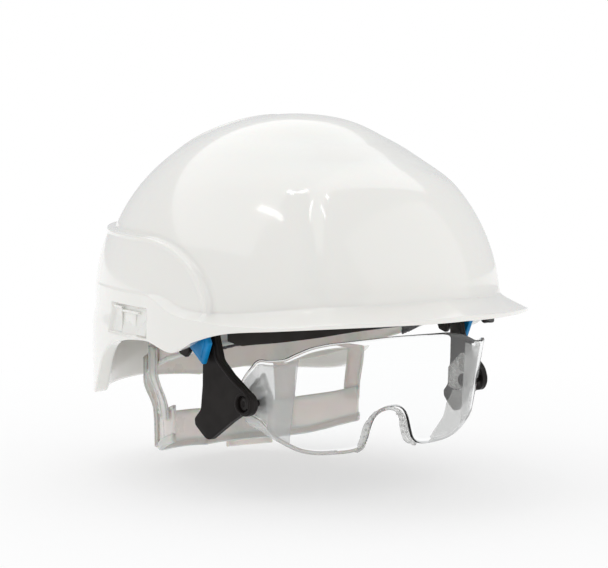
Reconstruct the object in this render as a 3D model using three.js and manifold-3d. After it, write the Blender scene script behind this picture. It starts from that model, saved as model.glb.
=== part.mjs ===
// Industrial safety helmet with a textile harness, a translucent headband and eyewear
// that swings down from under the shell on two arms.
// Millimetres, +Z up, front towards -Y. The origin is in the middle of the head opening,
// level with the lower edge of the front brim.
import * as THREE from 'three';
import { ParametricGeometry } from 'three/addons/geometries/ParametricGeometry.js';
import { mergeVertices } from 'three/addons/utils/BufferGeometryUtils.js';
import Module from 'manifold-3d';

const wasm = await Module();
wasm.setup();

// ---- Driving dimensions ----------------------------------------------------------------
const GAP = 0.3; // clearance between neighbouring pieces

const CROWN = 106.5; // crown above the front brim edge
const HALF_WIDTH = 106;
const HALF_LENGTH = 131.5;
const CENTRE_Y = 3.5;
const WALL = 3;
const BRIM_SIDE = 2; // how far the edge stands out at the sides and the back
const BRIM_FRONT = 18; // what the peak adds to that at the front
const BRIM_ROOT = 7; // height of the brim's root above its lower edge
const BRIM_EDGE = 3;
const PANEL_TOP = 38; // upper edge of the raised rear panel
const PANEL_PROUD = 2.5;
const PANEL_FRONT = 96; // degrees from the front where the panel starts

const SLOT_Y = 22; // accessory slots, one on each side
const SLOT_Z = -7;
const SLOT_LENGTH = 42;
const SLOT_HEIGHT = 16;
const SLOT_OUTER = 107.5;
const SLOT_INNER = 97.5;
const PAD = 11; // flat pad at the rear end of each slot, beside its pocket
const POCKET = { length: 28, height: 10, depth: 6.5 };

const PIVOT = { y: 30, z: -10 }; // hidden hinge of the eyewear arms
const PIN_RADIUS = 3;
const ARM_X = 88; // inner face of an arm beside its hinge
const ARM_THICKNESS = 4;
const ARM_BEND = -27; // y where the arm starts to toe in
const ARM_TOE_IN = 0.18;
const BRACKET_X = 92.6;
const BRACKET_THICKNESS = 2.6;
const BOSS = { y: -61.5, z: -47.5, radius: 7 }; // where the lens is screwed to the arm
const SCREW_RADIUS = 2;

const LENS_THICKNESS = 2.2;
const SHELF_THICKNESS = 1.6;
const NOSE = { half: 17, top: -54, foot: -75 };

const BAND = { halfWidth: 76, halfLength: 90.5, centreY: 15, thickness: 2 };
const NAPE = { halfWidth: 70, halfLength: 85, centreY: 13.5, thickness: 2 };
const STRAP_WIDTH = 19;
const STRAP_THICKNESS = 1.2;
const STRAP_CROWN = 79;

// ---- Materials -------------------------------------------------------------------------
const standard = (color, roughness, extra = {}) =>
  new THREE.MeshStandardMaterial({ color, roughness, metalness: 0, ...extra });
const shellWhite = standard(0xf4f4f0, 0.25);
const blackPlastic = standard(0x262220, 0.45);
const bluePlastic = standard(0x1f7fc4, 0.4);
const clearPlastic = standard(0xe8eef0, 0.08, { transparent: true, opacity: 0.35 });
const naturalPlastic = standard(0xb9b6ae, 0.35, { transparent: true, opacity: 0.8 });
const webbing = standard(0xe6e6e2, 0.8);
const foam = standard(0x303234, 0.9);
const steel = standard(0xb8babd, 0.3, { metalness: 1 });

// ---- Helpers ---------------------------------------------------------------------------
const radians = THREE.MathUtils.degToRad;
const lerp = THREE.MathUtils.lerp;

// A smooth curve through [position, value] stations.
function through(stations) {
  const positions = stations.map((station) => station[0]);
  const values = stations.map((station) => station[1]);
  const curve = new THREE.CubicInterpolant(positions, values, 1);
  return (position) => curve.evaluate(position)[0];
}

// A point on an ellipse in plan, moved outwards by offset. Angle 0 is the front.
function onEllipse(halfWidth, halfLength, centreY, angle, offset) {
  const normal = new THREE.Vector2(Math.sin(angle) / halfWidth, -Math.cos(angle) / halfLength);
  normal.normalize();
  const x = halfWidth * Math.sin(angle) + offset * normal.x;
  const y = centreY - halfLength * Math.cos(angle) + offset * normal.y;
  return new THREE.Vector2(x, y);
}

// The same triangles with their other side out.
function flipped(geometry) {
  const turned = geometry.index ? geometry.toNonIndexed() : geometry.clone();
  const position = turned.attributes.position;
  const second = new THREE.Vector3();
  const third = new THREE.Vector3();
  for (let i = 0; i < position.count; i += 3) {
    second.fromBufferAttribute(position, i + 1);
    third.fromBufferAttribute(position, i + 2);
    position.setXYZ(i + 1, third.x, third.y, third.z);
    position.setXYZ(i + 2, second.x, second.y, second.z);
  }
  turned.deleteAttribute('uv');
  turned.computeVertexNormals();
  return turned;
}

// Six times the signed volume is positive where the triangles face out.
function facingOut(geometry) {
  const bare = geometry.index ? geometry.toNonIndexed() : geometry;
  const position = bare.attributes.position;
  const [a, b, c] = [new THREE.Vector3(), new THREE.Vector3(), new THREE.Vector3()];
  let volume = 0;
  for (let i = 0; i < position.count; i += 3) {
    a.fromBufferAttribute(position, i);
    b.fromBufferAttribute(position, i + 1);
    c.fromBufferAttribute(position, i + 2);
    volume += a.dot(b.cross(c));
  }
  return volume > 0 ? geometry : flipped(geometry);
}

// A bar that follows a route: section(u) gives the four corners of its section at u.
// A ring closes on itself, and any other bar is closed by shrinking each end to a point.
function bar(section, steps, ring = false) {
  const slices = ring ? steps : steps + 2;
  const place = (u, v, target) => {
    const slice = Math.round(u * slices);
    const step = ring ? (slice % steps) / steps : THREE.MathUtils.clamp((slice - 1) / steps, 0, 1);
    const corners = section(step);
    const isCap = !ring && (slice === 0 || slice === slices);
    if (isCap) {
      target.set(0, 0, 0);
      corners.forEach((corner) => target.addScaledVector(corner, 0.25));
    } else {
      target.copy(corners[Math.round(v * 4) % 4]);
    }
  };
  return facingOut(new ParametricGeometry(place, slices, 4));
}

// A band that follows an ellipse in plan between two heights.
function ellipseBand({ plan, from, to, steps, low, high, offset = 0, thickness }) {
  const section = (u) => {
    const angle = lerp(from, to, u);
    const outer = onEllipse(plan.halfWidth, plan.halfLength, plan.centreY, radians(angle), offset);
    const inset = offset - thickness;
    const inner = onEllipse(plan.halfWidth, plan.halfLength, plan.centreY, radians(angle), inset);
    const turn = Math.abs(THREE.MathUtils.euclideanModulo(angle + 180, 360) - 180);
    const bottom = low(turn);
    const top = high(turn);
    return [
      new THREE.Vector3(outer.x, outer.y, bottom),
      new THREE.Vector3(outer.x, outer.y, top),
      new THREE.Vector3(inner.x, inner.y, top),
      new THREE.Vector3(inner.x, inner.y, bottom),
    ];
  };
  return bar(section, steps, to - from >= 360);
}

function mesh(name, geometry, material) {
  const result = new THREE.Mesh(geometry, material);
  result.name = name;
  return result;
}

function toSolid(geometry) {
  const bare = geometry.index ? geometry.toNonIndexed() : geometry.clone();
  bare.deleteAttribute('normal');
  bare.deleteAttribute('uv');
  const merged = mergeVertices(bare, 1e-3);
  const corners = merged.index.array;
  const kept = [];
  for (let i = 0; i < corners.length; i += 3) {
    const [a, b, c] = [corners[i], corners[i + 1], corners[i + 2]];
    if (a !== b && b !== c && c !== a) kept.push(a, b, c);
  }
  const vertProperties = new Float32Array(merged.attributes.position.array);
  const triVerts = new Uint32Array(kept);
  return new wasm.Manifold(new wasm.Mesh({ numProp: 3, vertProperties, triVerts }));
}

function toGeometry(solid) {
  const { vertProperties, triVerts } = solid.getMesh();
  const geometry = new THREE.BufferGeometry();
  geometry.setAttribute('position', new THREE.BufferAttribute(new Float32Array(vertProperties), 3));
  geometry.setIndex(new THREE.BufferAttribute(new Uint32Array(triVerts), 1));
  geometry.computeVertexNormals();
  return geometry;
}

const cut = (geometry, ...tools) =>
  toGeometry(tools.reduce((solid, tool) => solid.subtract(toSolid(tool)), toSolid(geometry)));
const join = (geometry, ...others) =>
  toGeometry(others.reduce((solid, other) => solid.add(toSolid(other)), toSolid(geometry)));

const box = (x, y, z, width, length, height) =>
  new THREE.BoxGeometry(width, length, height).translate(x, y, z);

// A round bar along X from x0 to x1.
function rodX(x0, x1, y, z, radius, sides = 20) {
  const rod = new THREE.CylinderGeometry(radius, radius, Math.abs(x1 - x0), sides);
  return rod.rotateZ(Math.PI / 2).translate((x0 + x1) / 2, y, z);
}

// A plate with its outline in the (y, z) plane, from x0 outwards along +X.
function sidePlate(shape, x0, thickness) {
  const options = { depth: thickness, bevelEnabled: false, curveSegments: 6 };
  const plate = new THREE.ExtrudeGeometry(shape, options);
  const axes = new THREE.Matrix4().makeBasis(
    new THREE.Vector3(0, 1, 0),
    new THREE.Vector3(0, 0, 1),
    new THREE.Vector3(1, 0, 0),
  );
  return plate.applyMatrix4(axes).translate(x0, 0, 0);
}

// The wearer's right side (-X) is the mirror image of the left side.
const mirrored = (geometry) => flipped(geometry.clone().scale(-1, 1, 1));

// Adds name_l as given and name_r as its mirror image.
function addPair(group, name, geometry, material) {
  group.add(mesh(`${name}_l`, geometry, material));
  group.add(mesh(`${name}_r`, mirrored(geometry), material));
}

// ---- Shell -----------------------------------------------------------------------------
// Height of the shell's lower edge by degrees from the front: level peak, a dip at the
// eyewear arms, an arch behind it and a deep neck guard.
const rimHeight = through([
  [0, 0], [28, -1.5], [47, -4.5], [61, -8], [70, -14], [78, -21.5], [89, -17.5],
  [100, -20], [107, -25], [112.5, -34], [117, -46], [123, -56.5], [135, -58.3], [180, -58.5],
]);

function buildShell() {
  const domeHeights = [CROWN, 104, 98, 89, 77, 64, 50, PANEL_TOP + 1.5, PANEL_TOP - 1.5, 23, 10];
  const panel = (turn, z) => (turn > PANEL_FRONT && z < PANEL_TOP ? PANEL_PROUD : 0);
  const dome = (angle, turn, height, inset) => {
    const tilt = Math.acos(height / CROWN);
    const wide = (HALF_WIDTH - inset) * Math.sin(tilt);
    const long = (HALF_LENGTH - inset) * Math.sin(tilt);
    const z = (CROWN - inset) * Math.cos(tilt);
    const proud = inset ? 0 : panel(turn, z);
    const x = wide * Math.sin(angle) + proud * Math.sin(angle);
    const y = CENTRE_Y - (long + proud) * Math.cos(angle);
    return new THREE.Vector3(x, y, z);
  };
  const wall = (angle, offset, z) => {
    const point = onEllipse(HALF_WIDTH, HALF_LENGTH, CENTRE_Y, angle, offset);
    return new THREE.Vector3(point.x, point.y, z);
  };
  const profile = (angle) => {
    const turn = Math.abs(THREE.MathUtils.euclideanModulo(THREE.MathUtils.radToDeg(angle) + 180, 360) - 180);
    const rim = rimHeight(turn);
    const root = Math.min(rim + BRIM_ROOT, 8);
    const flare = BRIM_SIDE + BRIM_FRONT * Math.max(0, Math.cos(angle));
    const proud = panel(turn, 0);
    const outside = domeHeights.map((height) => dome(angle, turn, height, 0));
    const inside = domeHeights.map((height) => dome(angle, turn, height, WALL));
    return [
      ...outside,
      wall(angle, proud, lerp(10, root, 0.6)),
      wall(angle, proud, root),
      wall(angle, Math.max(flare, proud), rim + BRIM_EDGE),
      wall(angle, Math.max(flare, proud), rim),
      wall(angle, -WALL, Math.min(rim + 1, 8)),
      wall(angle, -WALL, lerp(10, root, 0.6)),
      ...inside.reverse(),
    ];
  };
  const rows = profile(0).length - 1;
  const place = (u, v, target) => {
    target.copy(profile(2 * Math.PI * (u % 1))[Math.round(v * rows)]);
  };
  const body = facingOut(new ParametricGeometry(place, 72, rows));
  const window = [1, -1].map((side) =>
    box(side * 102, SLOT_Y, SLOT_Z, 20, SLOT_LENGTH + 2 * GAP, SLOT_HEIGHT + 2 * GAP));
  return cut(body, ...window);
}

// Socket for ear defenders or a lamp: a flat face with a pocket that is open outwards.
function buildAccessorySlot() {
  const width = SLOT_OUTER - SLOT_INNER;
  const block = box((SLOT_OUTER + SLOT_INNER) / 2, SLOT_Y, SLOT_Z, width, SLOT_LENGTH, SLOT_HEIGHT);
  const pocketY = SLOT_Y + SLOT_LENGTH / 2 - PAD - POCKET.length / 2;
  return cut(block, box(SLOT_OUTER, pocketY, SLOT_Z, 2 * POCKET.depth, POCKET.length, POCKET.height));
}

function buildBrowSeal() {
  return ellipseBand({
    plan: { halfWidth: HALF_WIDTH, halfLength: HALF_LENGTH, centreY: CENTRE_Y },
    from: -63, to: 63, steps: 30, offset: -WALL - GAP, thickness: 2,
    low: (turn) => rimHeight(turn) - 8.4,
    high: (turn) => rimHeight(turn) + 3,
  });
}

// ---- Eyewear ---------------------------------------------------------------------------
// Each arm is straight beside its hinge and toes in towards the lens in front of it.
function buildArm() {
  const outline = new THREE.Shape();
  outline.moveTo(PIVOT.y, PIVOT.z + 9);
  outline.lineTo(-14, -2);
  outline.lineTo(ARM_BEND, -2.5);
  outline.quadraticCurveTo(-37, -4, -41, -14);
  outline.lineTo(-44, -25);
  outline.lineTo(-52, -32.5);
  outline.lineTo(-58, -36.5);
  outline.absarc(BOSS.y, BOSS.z, BOSS.radius, radians(110), radians(295), false);
  outline.lineTo(-52, -58.5);
  outline.lineTo(-43.3, -64.8);
  outline.lineTo(-37, -69.2);
  outline.quadraticCurveTo(-33, -71, -29, -67);
  outline.lineTo(ARM_BEND, -64);
  outline.quadraticCurveTo(-23, -59.5, ARM_BEND, -57.5);
  outline.lineTo(-29, -54);
  outline.lineTo(-30.5, -40);
  outline.lineTo(-31, -20);
  outline.quadraticCurveTo(-31, -14, ARM_BEND, -14);
  outline.lineTo(PIVOT.y - 8, -14);
  outline.absarc(PIVOT.y, PIVOT.z, 9, radians(210), radians(90), false);
  const hole = (centre, radius) => new THREE.Path().absarc(centre.y, centre.z, radius, 0, 2 * Math.PI, true);
  outline.holes.push(hole(PIVOT, PIN_RADIUS + GAP), hole(BOSS, SCREW_RADIUS + GAP));
  const plate = sidePlate(outline, ARM_X, ARM_THICKNESS);
  const position = plate.attributes.position;
  for (let i = 0; i < position.count; i += 1) {
    const ahead = Math.max(0, ARM_BEND - position.getY(i));
    position.setX(i, position.getX(i) - ARM_TOE_IN * ahead);
  }
  plate.computeVertexNormals();
  return plate;
}

function buildPivotPin() {
  const inner = ARM_X - GAP;
  const profile = [[0, inner - 2.2], [6, inner - 2.2], [6, inner], [PIN_RADIUS, inner],
    [PIN_RADIUS, BRACKET_X + BRACKET_THICKNESS + 1.5], [0, BRACKET_X + BRACKET_THICKNESS + 1.5]];
  const pin = new THREE.LatheGeometry(profile.map(([r, x]) => new THREE.Vector2(r, x)), 20);
  return facingOut(pin.rotateZ(-Math.PI / 2).translate(0, PIVOT.y, PIVOT.z));
}

function buildBossScrew() {
  const profile = [[0, 68.8], [4, 68.8], [4, 70.7], [SCREW_RADIUS, 70.7], [SCREW_RADIUS, 86.4],
    [3.5, 86.4], [3.5, 87.2], [0, 87.6]];
  const screw = new THREE.LatheGeometry(profile.map(([r, x]) => new THREE.Vector2(r, x)), 20);
  return facingOut(screw.rotateZ(-Math.PI / 2).translate(0, BOSS.y, BOSS.z));
}

function buildBracket() {
  const outline = new THREE.Shape();
  outline.moveTo(-23.5, -12);
  outline.lineTo(-23.5, -22);
  outline.lineTo(-20, -25.5);
  outline.lineTo(-14, -24);
  outline.lineTo(-10, -16);
  outline.lineTo(PIVOT.y, -20);
  outline.absarc(PIVOT.y, PIVOT.z, 10, radians(-90), radians(90), false);
  outline.lineTo(-16, 4);
  const hole = new THREE.Path().absarc(PIVOT.y, PIVOT.z, PIN_RADIUS + GAP, 0, 2 * Math.PI, true);
  outline.holes.push(hole);
  return sidePlate(outline, BRACKET_X, BRACKET_THICKNESS);
}

function buildLockClip() {
  const outline = new THREE.Shape();
  outline.moveTo(-24, -10);
  outline.lineTo(-24, -19);
  outline.lineTo(-37, -28);
  outline.lineTo(-43, -15.5);
  outline.lineTo(-40, -10);
  return sidePlate(outline, BRACKET_X, 3);
}

// The lens on one side, from the middle to its rear edge: half width, y and height of its
// upper edge, then of its lower edge. It narrows downwards.
const lensStations = [
  [[0, -86, -14.5], [0, -84.5, NOSE.top]],
  [[5, -85.95, -14.5], [5, -84.4, NOSE.top - 0.4]],
  [[9, -85.9, -14.6], [9, -84.2, NOSE.top - 1.8]],
  [[12, -85.8, -14.6], [12, -84, NOSE.top - 5]],
  [[14.5, -85.7, -14.7], [14.5, -83.7, NOSE.top - 12]],
  [[NOSE.half, -85.5, -14.8], [NOSE.half, -83.3, NOSE.foot + 2]],
  [[21, -85.2, -15], [21, -82.4, NOSE.foot - 1]],
  [[33, -84.2, -15.3], [33, -79.8, -78]],
  [[44, -82.6, -15.8], [44, -77.2, -78]],
  [[54, -80.6, -17.3], [55, -74, -76]],
  [[62, -78.6, -20], [64, -71.5, -71.5]],
  [[70, -76.3, -22.8], [69.3, -69.8, -68]],
  [[76.5, -73.6, -23], [72.7, -68.3, -64.3]],
  [[80, -70.6, -22.8], [74.2, -67, -61.2]],
  [[81.2, -67, -23.4], [75.3, -64, -58.6]],
  [[81, -61, -28], [76, -59.5, -57]],
  [[80.3, -54.5, -33], [76.8, -53, -55.6]],
  [[79, -47.5, -40.5], [77, -47, -54.9]],
  [[77.8, -42.5, -47.5], [77.3, -42.5, -53]],
];

// The inner edge of the shelf that closes the lens against the cheek, and where the shelf
// leaves the lens.
const shelfStations = [
  [[33.5, -77, -77.2], [33, -75.5, -78.4]],
  [[44, -74.6, -77.2], [42.7, -65, -78.8]],
  [[55, -71.4, -75.2], [52.1, -59, -75.5]],
  [[63.2, -69, -70.8], [61.2, -54.6, -70]],
  [[68.2, -67.6, -67.2], [65.7, -51.5, -66.4]],
  [[71.6, -66.5, -63.5], [70, -47.9, -63.4]],
  [[73.5, -64.5, -60.2], [73.3, -46.9, -60.5]],
  [[74.5, -58, -57], [75, -47, -56.4]],
];

function buildLens() {
  const left = lensStations.slice(1);
  const right = left.map((edges) => edges.map(([x, y, z]) => [-x, y, z])).reverse();
  const stations = [...right, lensStations[0], ...left];
  const steps = stations.length - 1;
  const section = (u) => {
    const index = Math.round(u * steps);
    const [top, low] = stations[index].map((edge) => new THREE.Vector3(...edge));
    const before = new THREE.Vector3(...stations[Math.max(index - 1, 0)][0]);
    const after = new THREE.Vector3(...stations[Math.min(index + 1, steps)][0]);
    const tangent = after.sub(before).setZ(0).normalize();
    const inward = new THREE.Vector3(-tangent.y, tangent.x, 0).multiplyScalar(LENS_THICKNESS);
    return [low, top, top.clone().add(inward), low.clone().add(inward)];
  };
  const shelf = (side) => {
    const shelfSteps = shelfStations.length - 1;
    return bar((u) => {
      const edges = shelfStations[Math.round(u * shelfSteps)];
      const [outer, inner] = edges.map(([x, y, z]) => new THREE.Vector3(side * x, y, z));
      const up = new THREE.Vector3(0, 0, SHELF_THICKNESS);
      return [outer, inner, inner.clone().add(up), outer.clone().add(up)];
    }, shelfSteps);
  };
  const holes = [1, -1].map((side) =>
    rodX(side * 72, side * 84, BOSS.y, BOSS.z, SCREW_RADIUS + GAP));
  return cut(join(bar(section, steps), shelf(1), shelf(-1)), ...holes);
}

// A soft flange behind the edge of the nose cut-out. Its legs lean back with the lens.
function buildNoseBridge() {
  const legs = [
    [0, -79.8, -55.8], [7, -79.7, -57.3], [12.2, -79.5, -62], [15.5, -79.2, -73],
    [20, -78.2, -77.6],
  ];
  const left = legs.map(([x, y, z]) => new THREE.Vector3(x, y, z));
  const right = legs.slice(1).map(([x, y, z]) => new THREE.Vector3(-x, y, z)).reverse();
  const arch = new THREE.CatmullRomCurve3([...right, ...left]);
  const section = (u) => {
    const point = arch.getPoint(u);
    const tangent = arch.getTangent(u);
    const away = new THREE.Vector3(-tangent.z, 0, tangent.x).normalize().multiplyScalar(0.7);
    const back = new THREE.Vector3(0, 2, 0);
    return [
      point.clone().add(away).sub(back),
      point.clone().add(away).add(back),
      point.clone().sub(away).add(back),
      point.clone().sub(away).sub(back),
    ];
  };
  return bar(section, 32);
}

function buildLensClip() {
  const outline = new THREE.Shape();
  outline.moveTo(-60.3, -31);
  outline.lineTo(-68, -44);
  outline.lineTo(-68.5, -50);
  outline.lineTo(-64, -54.4);
  outline.lineTo(-48.7, -51);
  outline.lineTo(-49, -41);
  const hole = new THREE.Path().absarc(BOSS.y, BOSS.z, SCREW_RADIUS + GAP, 0, 2 * Math.PI, true);
  outline.holes.push(hole);
  return sidePlate(outline, 71, 1);
}

// ---- Harness and headband --------------------------------------------------------------
const bandLow = through([[0, -8], [45, -14], [95, -33], [125, -47], [180, -57]]);
const bandHigh = through([[0, 15], [45, 11], [95, -5], [125, -17], [180, -27]]);
const napeLow = through([[103, -83], [130, -94], [180, -100]]);
const napeHigh = through([[103, -60], [112, -66], [130, -73], [180, -77]]);

const buildHeadband = () =>
  ellipseBand({
    plan: BAND, from: 0, to: 360, steps: 60, low: bandLow, high: bandHigh,
    thickness: BAND.thickness,
  });

const buildSweatband = () =>
  ellipseBand({
    plan: BAND, from: -75, to: 75, steps: 26, offset: -BAND.thickness - GAP, thickness: 3,
    low: (turn) => bandLow(turn) - 2,
    high: (turn) => bandHigh(turn) + 1,
  });

const buildNapeBand = () =>
  ellipseBand({
    plan: NAPE, from: 103, to: 257, steps: 34, low: napeLow, high: napeHigh,
    thickness: NAPE.thickness,
  });

const buildSizeBuckle = () =>
  ellipseBand({
    plan: NAPE, from: 145, to: 167, steps: 8, offset: GAP + 2.5, thickness: 2.5,
    low: (turn) => napeLow(turn) - 4,
    high: (turn) => napeHigh(turn) - 1,
  });

// A strut of the nape yoke: it starts just outside the headband and ends above the nape band.
function buildStrut(turn, width) {
  const half = THREE.MathUtils.radToDeg(width / 2 / 84);
  return ellipseBand({
    plan: BAND, from: turn - half, to: turn + half, steps: 3, offset: GAP + 1.8, thickness: 1.8,
    low: () => napeHigh(turn) + GAP,
    high: () => bandLow(turn) + 12,
  });
}

// Lugs clip the strap ends into the shell. Each stands against the wall, above the arms.
const LUGS = {
  front: { x: 83, y: -31, z: 43, turn: -20 },
  rear: { x: 79.5, y: 61, z: 32, turn: 36 },
};

function buildLug(lug) {
  const outline = new THREE.Shape();
  outline.moveTo(-12, -9);
  outline.lineTo(12, -9);
  outline.lineTo(12, 5);
  outline.lineTo(8, 9);
  outline.lineTo(-8, 9);
  outline.lineTo(-12, 5);
  const slot = new THREE.Path();
  slot.moveTo(-10, 0);
  slot.lineTo(-10, 3.4);
  slot.lineTo(10, 3.4);
  slot.lineTo(10, 0);
  outline.holes.push(slot);
  const plate = sidePlate(outline, -1.5, 3);
  return plate.rotateY(radians(-24)).rotateZ(radians(lug.turn)).translate(lug.x, lug.y, lug.z);
}

// A hanger joins a lug to the headband below it.
function buildHanger(lug, foot) {
  const top = new THREE.Vector3(lug.x - 4.5, lug.y, lug.z - 12);
  const bottom = new THREE.Vector3(foot.x, foot.y, foot.z);
  const length = top.distanceTo(bottom);
  const tilt = Math.atan2(top.x - bottom.x, top.z - bottom.z);
  const middle = top.clone().add(bottom).multiplyScalar(0.5);
  const plate = new THREE.BoxGeometry(1.6, 14, length);
  return plate.rotateY(tilt).rotateZ(radians(lug.turn * 0.6)).translate(middle.x, middle.y, middle.z);
}

// Webbing that follows a route in a vertical plane; across points over its width.
function webbingBar(route, across, steps) {
  const section = (u) => {
    const point = route.getPoint(u);
    const up = new THREE.Vector3().crossVectors(route.getTangent(u), across);
    const corner = (side, level) => {
      const place = point.clone().addScaledVector(across, side * STRAP_WIDTH / 2);
      return place.addScaledVector(up, level * STRAP_THICKNESS / 2);
    };
    return [corner(-1, -1), corner(-1, 1), corner(1, 1), corner(1, -1)];
  };
  return bar(section, steps);
}

// A cross strap runs from one lug over the crown to the opposite one.
function buildCrossStrap(from, to, crown) {
  const middle = new THREE.Vector3(0, (from.y * to.x - to.y * from.x) / (to.x - from.x), crown);
  const rise = (end, reach, z) => new THREE.Vector3().lerpVectors(middle, end, reach).setZ(z);
  const route = new THREE.CatmullRomCurve3([
    rise(from, 0.93, from.z + 9),
    rise(from, 0.8, lerp(from.z, crown, 0.55)),
    rise(from, 0.42, crown - 4.5),
    middle,
    rise(to, 0.42, crown - 4.5),
    rise(to, 0.8, lerp(to.z, crown, 0.55)),
    rise(to, 0.93, to.z + 9),
  ]);
  const heading = Math.atan2(to.y - from.y, to.x - from.x);
  return webbingBar(route, new THREE.Vector3(-Math.sin(heading), Math.cos(heading), 0), 24);
}

// The long strap runs from the front of the headband to its back.
function buildLongStrap() {
  const places = [[-70, 20], [-62, 45], [-38, 68], [14, STRAP_CROWN - 6], [62, 60], [88, 30], [100, -20]];
  const route = new THREE.CatmullRomCurve3(places.map(([y, z]) => new THREE.Vector3(0, y, z)));
  return webbingBar(route, new THREE.Vector3(1, 0, 0), 26);
}

function buildCrownPad() {
  const profile = [[0, 66.5], [24, 65], [26, 63], [26, 60.5], [0, 62.5]];
  const pad = new THREE.LatheGeometry(profile.map(([r, z]) => new THREE.Vector2(r, z)), 24);
  return facingOut(pad.rotateX(Math.PI / 2).translate(0, 14, 0));
}

// ---- Assembly --------------------------------------------------------------------------
const helmet = new THREE.Group();
helmet.add(mesh('outer_shell', buildShell(), shellWhite));
helmet.add(mesh('brow_seal', buildBrowSeal(), blackPlastic));
addPair(helmet, 'accessory_slot', buildAccessorySlot(), shellWhite);
addPair(helmet, 'arm_bracket', buildBracket(), blackPlastic);
addPair(helmet, 'lock_clip', buildLockClip(), bluePlastic);
addPair(helmet, 'pivot_pin', buildPivotPin(), steel);
addPair(helmet, 'lug_front', buildLug(LUGS.front), naturalPlastic);
addPair(helmet, 'lug_rear', buildLug(LUGS.rear), naturalPlastic);
addPair(helmet, 'hanger_front', buildHanger(LUGS.front, { x: 70.5, y: -27, z: -2 }), naturalPlastic);
addPair(helmet, 'hanger_rear', buildHanger(LUGS.rear, { x: 67.5, y: 66, z: -24 }), naturalPlastic);
helmet.add(mesh('headband', buildHeadband(), naturalPlastic));
helmet.add(mesh('sweatband', buildSweatband(), foam));
const mirrorX = (lug) => ({ ...lug, x: -lug.x });
helmet.add(mesh('strap_cross_a', buildCrossStrap(mirrorX(LUGS.front), LUGS.rear, STRAP_CROWN), webbing));
const lowerCrown = STRAP_CROWN - 2.5;
helmet.add(mesh('strap_cross_b', buildCrossStrap(mirrorX(LUGS.rear), LUGS.front, lowerCrown), webbing));
helmet.add(mesh('strap_long', buildLongStrap(), webbing));
helmet.add(mesh('crown_pad', buildCrownPad(), foam));

const napeYoke = new THREE.Group();
napeYoke.add(mesh('nape_band', buildNapeBand(), naturalPlastic));
napeYoke.add(mesh('size_buckle', buildSizeBuckle(), naturalPlastic));
addPair(napeYoke, 'strut_side', buildStrut(108, 10), naturalPlastic);
addPair(napeYoke, 'strut_rear', buildStrut(139, 12), naturalPlastic);
helmet.add(napeYoke);

const eyewear = new THREE.Group();
addPair(eyewear, 'eyewear_arm', buildArm(), blackPlastic);
addPair(eyewear, 'boss_screw', buildBossScrew(), blackPlastic);
helmet.add(eyewear);

const lensAssembly = new THREE.Group();
lensAssembly.add(mesh('lens', buildLens(), clearPlastic));
lensAssembly.add(mesh('nose_bridge', buildNoseBridge(), clearPlastic));
addPair(lensAssembly, 'lens_clip', buildLensClip(), clearPlastic);
eyewear.add(lensAssembly);

export default helmet;
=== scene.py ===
"""A safety helmet with retractable eyewear: its looks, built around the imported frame.

Lengths in this script are millimetres and are scaled to metres where a mesh is made.
+Z is up, the front is towards -Y and the wearer's left is +X.
"""
import math

import bmesh
import bpy
import numpy as np
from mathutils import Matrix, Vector
from mathutils.kdtree import KDTree


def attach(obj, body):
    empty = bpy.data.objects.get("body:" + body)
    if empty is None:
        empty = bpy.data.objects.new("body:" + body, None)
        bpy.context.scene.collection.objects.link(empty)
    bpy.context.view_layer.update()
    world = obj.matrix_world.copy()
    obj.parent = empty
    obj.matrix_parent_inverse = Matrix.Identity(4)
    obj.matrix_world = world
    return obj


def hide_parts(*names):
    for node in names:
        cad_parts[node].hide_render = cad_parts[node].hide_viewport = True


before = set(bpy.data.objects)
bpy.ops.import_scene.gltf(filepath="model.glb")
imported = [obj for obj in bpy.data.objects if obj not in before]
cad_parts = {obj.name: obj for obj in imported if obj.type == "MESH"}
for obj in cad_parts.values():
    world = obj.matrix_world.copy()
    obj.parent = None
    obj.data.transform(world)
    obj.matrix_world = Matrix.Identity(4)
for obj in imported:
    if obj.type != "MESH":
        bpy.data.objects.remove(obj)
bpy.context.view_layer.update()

MM = 0.001
TAU = 2 * math.pi

# ---- Driving dimensions, the same as the frame's ----
CROWN, HALF_WIDTH, HALF_LENGTH, CENTRE_Y = 106.5, 106.0, 131.5, 3.5
WALL = 3.0
# y and z of the screws and of the hinges
BOSS = (-61.5, -47.5)
PIVOT = (30.0, -10.0)
# plans are ellipses: half width, half length and the y of the centre
BAND = (76.0, 90.5, 15.0)
NAPE = (70.0, 85.0, 13.5)
BRACKET_X = 92.6
SHELL_PLAN = (HALF_WIDTH, HALF_LENGTH, CENTRE_Y)


# ---- Numbers and curves ----
def smooth(low, high, value):
    """0 below low, 1 above high and an S-shaped ramp between them."""
    t = np.clip((np.asarray(value, float) - low) / (high - low), 0, 1)
    return t * t * (3 - 2 * t)


def through(stations):
    """A smooth curve through (position, value) stations that doesn't overshoot."""
    xs, ys = (np.array(column, float) for column in zip(*stations))
    slopes = np.diff(ys) / np.diff(xs)
    inner = np.where(slopes[:-1] * slopes[1:] > 0, (slopes[:-1] + slopes[1:]) / 2, 0)
    limit = 3 * np.minimum(abs(slopes[:-1]), abs(slopes[1:]))
    inner = np.sign(inner) * np.minimum(abs(inner), limit)
    tangents = np.concatenate([[slopes[0]], inner, [slopes[-1]]])

    def value(x):
        x = np.clip(np.asarray(x, float), xs[0], xs[-1])
        i = np.clip(np.searchsorted(xs, x, "right") - 1, 0, len(xs) - 2)
        step = xs[i + 1] - xs[i]
        t = (x - xs[i]) / step
        start = (1 + 2 * t) * (1 - t) ** 2 * ys[i] + t * (1 - t) ** 2 * step * tangents[i]
        end = t * t * (3 - 2 * t) * ys[i + 1] + t * t * (t - 1) * step * tangents[i + 1]
        return start + end

    return value


def distances(points):
    """How far along a line each of its points is."""
    return np.concatenate([[0], np.cumsum(np.linalg.norm(np.diff(points, axis=0), axis=1))])


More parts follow.
